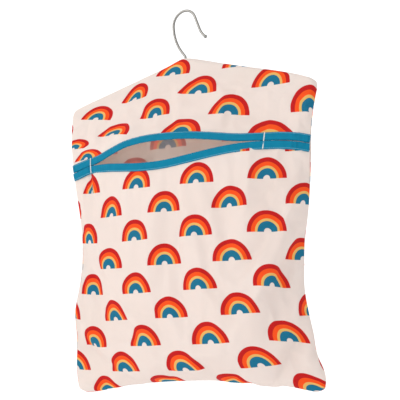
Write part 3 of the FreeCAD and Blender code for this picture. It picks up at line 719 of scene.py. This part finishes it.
def pressFolds(name):
    mesh = panels[name]["piece"].data
    count = len(mesh.vertices)
    co = np.empty(count * 3)
    normal = np.empty(count * 3)
    mesh.vertices.foreach_get("co", co)
    mesh.vertices.foreach_get("normal", normal)
    co, normal = co.reshape(-1, 3), normal.reshape(-1, 3)
    flat = co[:, (0, 2)] / mm
    lift = np.zeros(count)
    for panelName, start, end, width, depth, kind in folds:
        if panelName != name:
            continue
        start, end = np.array(start, float), np.array(end, float)
        run = end - start
        t = ((flat - start) @ run) / (run @ run)
        off = np.abs((flat - start) @ np.array([-run[1], run[0]])) / np.linalg.norm(run)
        window = np.sin(math.pi * np.clip(t, 0, 1)) ** 0.6 if kind == "soft" else np.clip(
            np.minimum((t + 0.15) / 0.3, (1 - t) / 0.6), 0, 1) ** 0.8
        shape = np.exp(-((off / width) ** 2))
        if kind == "crease":
            shape -= 0.45 * np.exp(-(((off - 2.1 * width) / (1.1 * width)) ** 2))
        lift += depth * window * shape
    p = panels[name]
    rows, columns = p["points"].shape[:2]
    fromSide = np.minimum(p["column"], columns - 1 - p["column"])
    fromHem = rows - 1 - p["row"] if name != "frontYoke" else np.full(count, 99)
    gatherSide = (np.sin(co[:, 2] / mm / 17.6 * 2 * math.pi) + 1) * np.exp(-(((fromSide - 2.5) / 2.5) ** 2))
    gatherHem = (np.sin(co[:, 0] / mm / 19.0 * 2 * math.pi) + 1) * np.exp(-(((fromHem - 2.5) / 2.5) ** 2))
    lift += 0.4 * (gatherSide + gatherHem)
    keep = np.minimum(1, fromSide / 4) * np.minimum(1, np.minimum(p["row"], rows - 1 - p["row"]) / 2)
    fall = (p["points"][:1, :, 2] - p["points"][..., 2])[p["row"], p["column"]]
    if name != "frontLower":
        keep *= ease((fall - bagLines["barHeight"]) / 14)
    if name != "backPanel":
        lip = p["points"][-1 if name == "frontYoke" else 0, :, 2][p["column"]]
        keep *= ease((np.abs(p["points"][..., 2][p["row"], p["column"]] - lip) - 7.5) / 8)
    co += normal * (lift * keep * mm)[:, None]
    shape = p["points"][p["row"], p["column"]]
    ends = p["points"][p["row"], 0, 0], p["points"][p["row"], -1, 0]
    fromEdge = np.minimum(shape[:, 0] - ends[0], ends[1] - shape[:, 0])
    if name != "frontYoke":
        fromEdge = np.minimum(fromEdge, shape[:, 2] - p["points"][-1, p["column"], 2])
    if name != "frontLower":
        fromEdge = np.minimum(fromEdge, fall)
    clear = 0.5 * np.clip(fromEdge, 0, 3.0) * mm  # front and back keep apart beside a seam
    co[:, 1] = np.maximum(co[:, 1], clear) if name == "backPanel" else np.minimum(co[:, 1], -clear)
    mesh.vertices.foreach_set("co", co.ravel())
    mesh.update()


for name in panels:
    pressFolds(name)
print("stage: folds pressed")


def settledGrid(p):
    mesh = p["piece"].data
    co = np.empty(len(mesh.vertices) * 3)
    mesh.vertices.foreach_get("co", co)
    grid = np.zeros(p["points"].shape)
    grid[p["row"], p["column"]] = co.reshape(-1, 3)
    return grid


def finishPanel(name, thickness=0.5 * mm):
    piece = panels[name]["piece"]
    piece.data.materials.clear()
    piece.data.materials.append(cottonFace)
    piece.data.materials.append(cottonReverse)
    sub = piece.modifiers.new("smooth", "SUBSURF")
    sub.levels = sub.render_levels = 1
    applyAll(piece)
    wall = piece.modifiers.new("thickness", "SOLIDIFY")
    wall.thickness = thickness
    wall.offset = -1
    wall.material_offset = 1
    wall.material_offset_rim = 0
    applyAll(piece)
    makeActive(piece)
    bpy.ops.object.shade_smooth_by_angle(angle=math.radians(50))
    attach(piece, "bag")


settled = {name: settledGrid(p) for name, p in panels.items()}
for name in panels:
    finishPanel(name)


def surfaceNormals(grid):
    da = np.gradient(grid, axis=1)
    dd = np.gradient(grid, axis=0)
    n = np.cross(dd, da)
    return n / np.linalg.norm(n, axis=2, keepdims=True)


# a closed strip swept along a path. section is (distance from the edge, height) round its outline
def ribbon(name, path, outward, away, section, material):
    count = len(path)
    side = len(section)
    verts = []
    for p, n, w in zip(path, outward, away):
        for a, h in section:
            verts.append(p + w * a + n * h)
    faces = []
    for i in range(count - 1):
        for k in range(side):
            m = (k + 1) % side
            faces.append((i * side + k, i * side + m, (i + 1) * side + m, (i + 1) * side + k))
    faces.append(tuple(range(side - 1, -1, -1)))
    faces.append(tuple((count - 1) * side + k for k in range(side)))
    mesh = bpy.data.meshes.new(name)
    mesh.from_pydata([tuple(v) for v in verts], [], faces)
    layer = mesh.uv_layers.new(name="printLay")
    along = np.concatenate([[0], np.cumsum(np.linalg.norm(np.diff(path, axis=0), axis=1))])
    around = np.concatenate([[0], np.cumsum(np.linalg.norm(np.diff(np.array(section), axis=0), axis=1))])
    for polygon in mesh.polygons:
        for loop in polygon.loop_indices:
            v = mesh.loops[loop].vertex_index
            layer.data[loop].uv = (along[v // side], around[v % side])
    piece = bpy.data.objects.new(name, mesh)
    bpy.context.scene.collection.objects.link(piece)
    mesh.materials.append(material)
    makeActive(piece)
    bpy.ops.object.mode_set(mode="EDIT")
    bpy.ops.mesh.select_all(action="SELECT")
    bpy.ops.mesh.normals_make_consistent(inside=False)
    bpy.ops.object.mode_set(mode="OBJECT")
    bpy.ops.object.shade_smooth_by_angle(angle=math.radians(60))
    return piece


binding = {"width": 9.4 * mm, "half": 1.15 * mm, "samples": 190, "stitchPitch": 3.0 * mm,
           "stitchLength": 2.1 * mm,
           "stitchInset": 1.3 * mm, "stitchRadius": 0.32 * mm}


def resample(points, count):
    gaps = np.linalg.norm(np.diff(points, axis=0), axis=1)
    at = np.concatenate([[0], np.cumsum(gaps)])
    want = np.linspace(0, at[-1], count)
    return np.stack([np.interp(want, at, points[:, k]) for k in range(points.shape[1])], -1), want


# the cloth's edge with the outward direction and the direction away from the opening, evened out
def lipFrames(grid, lastRow, count):
    normals = surfaceNormals(grid)
    edge = grid[lastRow]
    inward = grid[lastRow - 2 if lastRow < 0 else lastRow + 2]
    data = np.concatenate([edge, normals[lastRow], inward - edge], 1)
    data, at = resample(data, count)
    for _ in range(40):
        data[1:-1, 3:] = (data[:-2, 3:] + data[1:-1, 3:] * 2 + data[2:, 3:]) / 4
    path = data[:, :3]
    along = np.gradient(path, axis=0)
    along /= np.linalg.norm(along, axis=1, keepdims=True)
    n = data[:, 3:6]
    n -= along * (n * along).sum(1, keepdims=True)
    n /= np.linalg.norm(n, axis=1, keepdims=True)
    w = data[:, 6:9]
    w -= along * (w * along).sum(1, keepdims=True)
    w -= n * (w * n).sum(1, keepdims=True)
    w /= np.linalg.norm(w, axis=1, keepdims=True)
    return path, n, w, along, at


def bindingSection(width, half):
    pts = []
    pts.append((width, half * 0.35))
    pts.append((width - 0.25 * mm, half * 0.8))
    pts.append((width - 0.9 * mm, half * 0.98))
    pts.append((width - 1.6 * mm, half * 0.80))
    pts.append((width - 2.6 * mm, half * 1.05))
    pts.append((width * 0.45, half * 1.12))
    pts.append((1.2 * mm, half * 1.05))
    pts.append((0.2 * mm, half * 0.85))
    pts.append((-0.35 * mm, half * 0.45))
    pts.append((-0.5 * mm, 0.0))
    top = pts
    bottom = [(a, -h) for a, h in reversed(top[:-1])]
    return top + bottom


def makeBinding(name, node, grid, lastRow):
    path, n, w, along, at = lipFrames(grid, lastRow, binding["samples"])
    ripple = 0.12 * mm * np.sin(at / (2.9 * mm) * 2 * math.pi)
    ripple += 0.18 * mm * np.sin(at / (17 * mm) * 2 * math.pi + 1)
    path = path + n * (ripple + 0.1 * mm)[:, None]
    piece = ribbon(name, path, n, w, bindingSection(binding["width"], binding["half"]), tapeFinish)
    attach(piece, "bag")
    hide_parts(node)
    return piece, path, n, w, along, at


upperBinding = makeBinding("upperBinding", "upper_binding", settled["frontYoke"], -1)
lowerBinding = makeBinding("lowerBinding", "lower_binding", settled["frontLower"], 0)


# one laid stitch, along X, with rounded ends
def capsule(radius, length):
    deselectAll()
    bpy.ops.mesh.primitive_cylinder_add(vertices=6, radius=radius, depth=length * 0.7,
                                        end_fill_type="NGON",
                                        rotation=(0, math.pi / 2, 0))
    piece = bpy.context.object
    bpy.ops.object.transform_apply(location=True, rotation=True, scale=True)
    bpy.ops.object.mode_set(mode="EDIT")
    bpy.ops.mesh.select_mode(type="FACE")
    bpy.ops.mesh.select_all(action="DESELECT")
    bpy.ops.object.mode_set(mode="OBJECT")
    for sign in (-1, 1):
        for polygon in piece.data.polygons:
            polygon.select = polygon.normal.x * sign > 0.9
        bpy.ops.object.mode_set(mode="EDIT")
        bpy.ops.mesh.extrude_region_move(TRANSFORM_OT_translate={"value": (sign * length * 0.15, 0, 0)})
        bpy.ops.transform.resize(value=(1, 0.45, 0.45))
        bpy.ops.object.mode_set(mode="OBJECT")
        for polygon in piece.data.polygons:
            polygon.select = False
    return piece


# copies of one pattern set at many frames, joined as one piece
def layCopies(name, pattern, frames, material, node):
    base = np.array([v.co for v in pattern.data.vertices])
    polys = [tuple(p.vertices) for p in pattern.data.polygons]
    verts, faces = [], []
    for origin, ax, ay, az in frames:
        start = len(verts)
        placed = origin + base[:, :1] * ax + base[:, 1:2] * ay + base[:, 2:] * az
        verts.extend(map(tuple, placed))
        faces.extend(tuple(i + start for i in f) for f in polys)
    mesh = bpy.data.meshes.new(name)
    mesh.from_pydata(verts, [], faces)
    mesh.materials.append(material)
    piece = bpy.data.objects.new(name, mesh)
    bpy.context.scene.collection.objects.link(piece)
    makeActive(piece)
    bpy.ops.object.shade_smooth_by_angle(angle=math.radians(60))
    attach(piece, "bag")
    if node:
        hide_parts(node)
    return piece


stitchPattern = capsule(binding["stitchRadius"], binding["stitchLength"])


def makeTopstitch(name, node, made):
    piece, path, n, w, along, at = made
    frames = []
    count = int(at[-1] / binding["stitchPitch"])
    depth = binding["half"] * 0.86
    for k in range(count):
        s = (k + 0.5) * binding["stitchPitch"]
        i = np.array([np.interp(s, at, path[:, c]) for c in range(3)])
        ni = np.array([np.interp(s, at, n[:, c]) for c in range(3)])
        wi = np.array([np.interp(s, at, w[:, c]) for c in range(3)])
        ai = np.array([np.interp(s, at, along[:, c]) for c in range(3)])
        lean = 0.12 * (1 if k % 2 else 0.6)
        ax = ai + wi * lean
        ax /= np.linalg.norm(ax)
        ni = ni - ax * ni.dot(ax)
        ni /= np.linalg.norm(ni)
        ay = np.cross(ni, ax)
        frames.append((i + wi * (binding["width"] - binding["stitchInset"]) + ni * depth, ax, ay, ni))
    layCopies(name, stitchPattern, frames, tealThread, node)


makeTopstitch("upperTopstitch", "upper_binding_stitching", upperBinding)
makeTopstitch("lowerTopstitch", "lower_binding_stitching", lowerBinding)

barTack = {"threads": 15, "rise": 17.4 * mm, "swing": 0.55 * mm, "radius": 0.26 * mm}


def makeTack(name, node, x):
    def lookUp(made):
        piece, path, n, w, along, at = made
        i = int(np.argmin(np.abs(path[:, 0] - x)))
        return path[i], n[i], w[i], along[i]
    up, lo = lookUp(upperBinding), lookUp(lowerBinding)
    top = up[0] + up[2] * (binding["width"] - 0.4 * mm) + up[1] * (binding["half"] + 0.2 * mm)
    bottom = lo[0] + lo[2] * (binding["width"] - 0.4 * mm) + lo[1] * (binding["half"] + 0.2 * mm)
    normal = up[1] + lo[1]
    normal /= np.linalg.norm(normal)
    along = up[3]
    pattern = capsule(barTack["radius"], 1.0 * mm)
    frames = []
    count = barTack["threads"]
    run = (bottom - top)
    length = np.linalg.norm(run)
    direction = run / length
    bend = 0.5 * mm
    for k in range(count):
        t0, t1 = k / count, (k + 1) / count
        s0, s1 = (-1) ** k * barTack["swing"], -((-1) ** k) * barTack["swing"]
        a = top + run * t0 + along * s0 + normal * bend * math.sin(math.pi * t0)
        b = top + run * t1 + along * s1 + normal * bend * math.sin(math.pi * t1)
        ax = (b - a)
        size = np.linalg.norm(ax)
        ax /= size
        nz = normal - ax * normal.dot(ax)
        nz /= np.linalg.norm(nz)
        frames.append(((a + b) / 2, ax * (size * 1.15 / (1.0 * mm)), np.cross(nz, ax), nz))
    for side in (-0.35, 0.35):
        steps = 6
        for k in range(steps):
            t = (k + 0.5) / steps
            origin = top + run * t + along * side * mm + normal * (bend * math.sin(math.pi * t) + 0.15 * mm)
            nz = normal - direction * normal.dot(direction)
            nz /= np.linalg.norm(nz)
            frames.append((origin, direction * (length / steps * 1.2 / (1.0 * mm)),
                           np.cross(nz, direction), nz))
    layCopies(name, pattern, frames, whiteThread, node)
    bpy.data.objects.remove(pattern)


makeTack("leftBarTack", "left_bar_tack", bagLines["leftTack"] * mm)
makeTack("rightBarTack", "right_bar_tack", bagLines["rightTack"] * mm)

seamAllowance = {"width": 7 * mm, "half": 0.55 * mm, "loopPitch": 2.2 * mm}


def makeSeam(name, node, path, away):
    path, at = resample(np.concatenate([path, away], 1), max(20, len(path)))
    p, w = path[:, :3], path[:, 3:6]
    along = np.gradient(p, axis=0)
    along /= np.linalg.norm(along, axis=1, keepdims=True)
    w = w - along * (w * along).sum(1, keepdims=True)
    w /= np.linalg.norm(w, axis=1, keepdims=True)
    n = np.cross(along, w)
    p = p + w * 1.0 * mm + n * (0.25 * mm * np.sin(at / (13 * mm)))[:, None]
    half, width = seamAllowance["half"], seamAllowance["width"]
    section = [(0, half), (width * 0.5, half * 1.1), (width, half), (width + 0.3 * mm, 0), (width, -half),
               (width * 0.5, -half * 1.1), (0, -half)]
    piece = ribbon(name, p, n, w, section, cottonReverse)
    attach(piece, "bag")
    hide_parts(node)


backGrid = settled["backPanel"]


def sideSeam(name, node, column, inward):
    edge = backGrid[6:-4, column]
    away = np.tile(np.array([inward, 0.0, 0.0]), (len(edge), 1))
    makeSeam(name, node, edge, away)


sideSeam("leftSideSeam", "left_side_seam", 0, 1.0)
sideSeam("rightSideSeam", "right_side_seam", -1, -1.0)
hemEdge = backGrid[-1, 3:-3]
makeSeam("bottomSeam", "bottom_seam", hemEdge, np.tile((0, 0, 1.0), (len(hemEdge), 1)))


for piece, nodeName in ((panels["frontYoke"]["piece"], "front_yoke"),
                        (panels["frontLower"]["piece"], "front_lower_panel"),
                        (panels["backPanel"]["piece"], "back_panel")):
    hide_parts(nodeName)

# shoulder seams: the ridge where yoke and back are joined over the hanger
def shoulderSeam(name, node, keep):
    line = backGrid[0]
    inside = keep(line[:, 0])
    edge = line[inside]
    path, _ = resample(edge, 60)
    along = np.gradient(path, axis=0)
    along /= np.linalg.norm(along, axis=1, keepdims=True)
    n = np.tile(np.array((0, 1.0, 0)), (60, 1))
    w = np.cross(n, along)
    w = np.where((w[:, 2:] > 0), -w, w)
    section = [(0.0, 0.9 * mm), (0.55 * mm, 0.9 * mm), (0.7 * mm, 0.0), (0.55 * mm, -0.9 * mm),
               (0.0, -0.9 * mm), (0.0, 0.0)]
    piece = ribbon(name, path + w * 0.55 * mm, n, w, section, cottonReverse)
    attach(piece, "bag")
    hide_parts(node)


shoulderSeam("leftShoulderSeam", "left_shoulder_seam", lambda x: (x < -6 * mm) & (x > -146 * mm))
shoulderSeam("rightShoulderSeam", "right_shoulder_seam", lambda x: (x > 6 * mm) & (x < 148 * mm))

for nodeName, finish, slotName in (("hook", makeSteel(), "steel_wire"),
                                   ("hook_washer", makeZinc(), "zinc_washer"),
                                   ("hanger_bar", makeWood(), "pale_wood")):
    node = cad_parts[nodeName]
    for place in range(len(node.material_slots)):
        node.material_slots[place].material = finish
    if not node.material_slots:
        node.data.materials.append(finish)

stage = {"floor": -0.62, "wall": 2.3, "bend": 0.9, "half": 4.0}


def makeBackdrop():
    deselectAll()
    bpy.ops.mesh.primitive_plane_add(size=1)
    piece = bpy.context.object
    piece.name = "studioSweep"
    s = stage
    line = [(-4.0, s["floor"]), (s["wall"] - s["bend"], s["floor"])]
    for k in range(1, 13):
        a = math.pi / 2 * k / 12
        line.append((s["wall"] - s["bend"] + s["bend"] * math.sin(a),
                     s["floor"] + s["bend"] * (1 - math.cos(a))))
    line.append((s["wall"], 3.0))
    verts, faces = [], []
    for y, z in line:
        verts += [(-s["half"], y, z), (s["half"], y, z)]
    for k in range(len(line) - 1):
        faces.append((2 * k, 2 * k + 1, 2 * k + 3, 2 * k + 2))
    mesh = bpy.data.meshes.new("studioSweep")
    mesh.from_pydata(verts, [], faces)
    mesh.materials.append(makeBackdropFinish())
    piece.data = mesh
    makeActive(piece)
    bpy.ops.object.shade_smooth()


makeBackdrop()

studio = {
    "sky": (0.98, 0.985, 1.0, 1), "skyStrength": 0.86,
    "key": {"place": (-1.3, -1.7, 0.9), "size": 1.3, "power": 22, "colour": (1.0, 0.95, 0.9)},
    "fill": {"place": (1.8, -1.2, -0.1), "size": 1.6, "power": 3, "colour": (0.93, 0.96, 1.0)},
}


def addLight(name, settings):
    deselectAll()
    bpy.ops.object.light_add(type="AREA", location=settings["place"])
    lamp = bpy.context.object
    lamp.name = name
    lamp.data.energy = settings["power"]
    lamp.data.size = settings["size"]
    lamp.data.color = settings["colour"]
    aim = Vector((0, 0, -0.25)) - Vector(settings["place"])
    lamp.rotation_mode = "QUATERNION"
    lamp.rotation_quaternion = aim.to_track_quat("-Z", "Y")


for name in ("key", "fill"):
    addLight(name + "Light", studio[name])
world = bpy.data.worlds.new("studio")
bpy.context.scene.world = world
world.use_nodes = True
world.node_tree.nodes["Background"].inputs[0].default_value = studio["sky"]
world.node_tree.nodes["Background"].inputs[1].default_value = studio["skyStrength"]
bpy.context.scene.view_settings.view_transform = "Standard"

camera = {"place": (0.35144, -0.88219, -0.38706), "aim": (0.0128, 0.0, -0.2357), "roll": -1.86,
          "lens": 72.9}
deselectAll()
bpy.ops.object.camera_add(location=camera["place"])
eye = bpy.context.object
eye.rotation_mode = "QUATERNION"
look = Vector(camera["aim"]) - Vector(camera["place"])
turned = look.to_track_quat("-Z", "Y")
eye.rotation_quaternion = turned @ Quaternion((0, 0, 1), math.radians(camera["roll"]))
eye.data.lens = camera["lens"]
eye.data.sensor_width = 36
eye.data.clip_start = 0.01
bpy.context.scene.camera = eye

bpy.data.objects.remove(stitchPattern)


def layerArea(grid):
    a = grid[1:, 1:] - grid[:-1, :-1]
    b = grid[1:, :-1] - grid[:-1, 1:]
    return float(np.linalg.norm(np.cross(a, b), axis=2).sum() / 2)


for name in panels:
    print("area", name, layerArea(settled[name]))
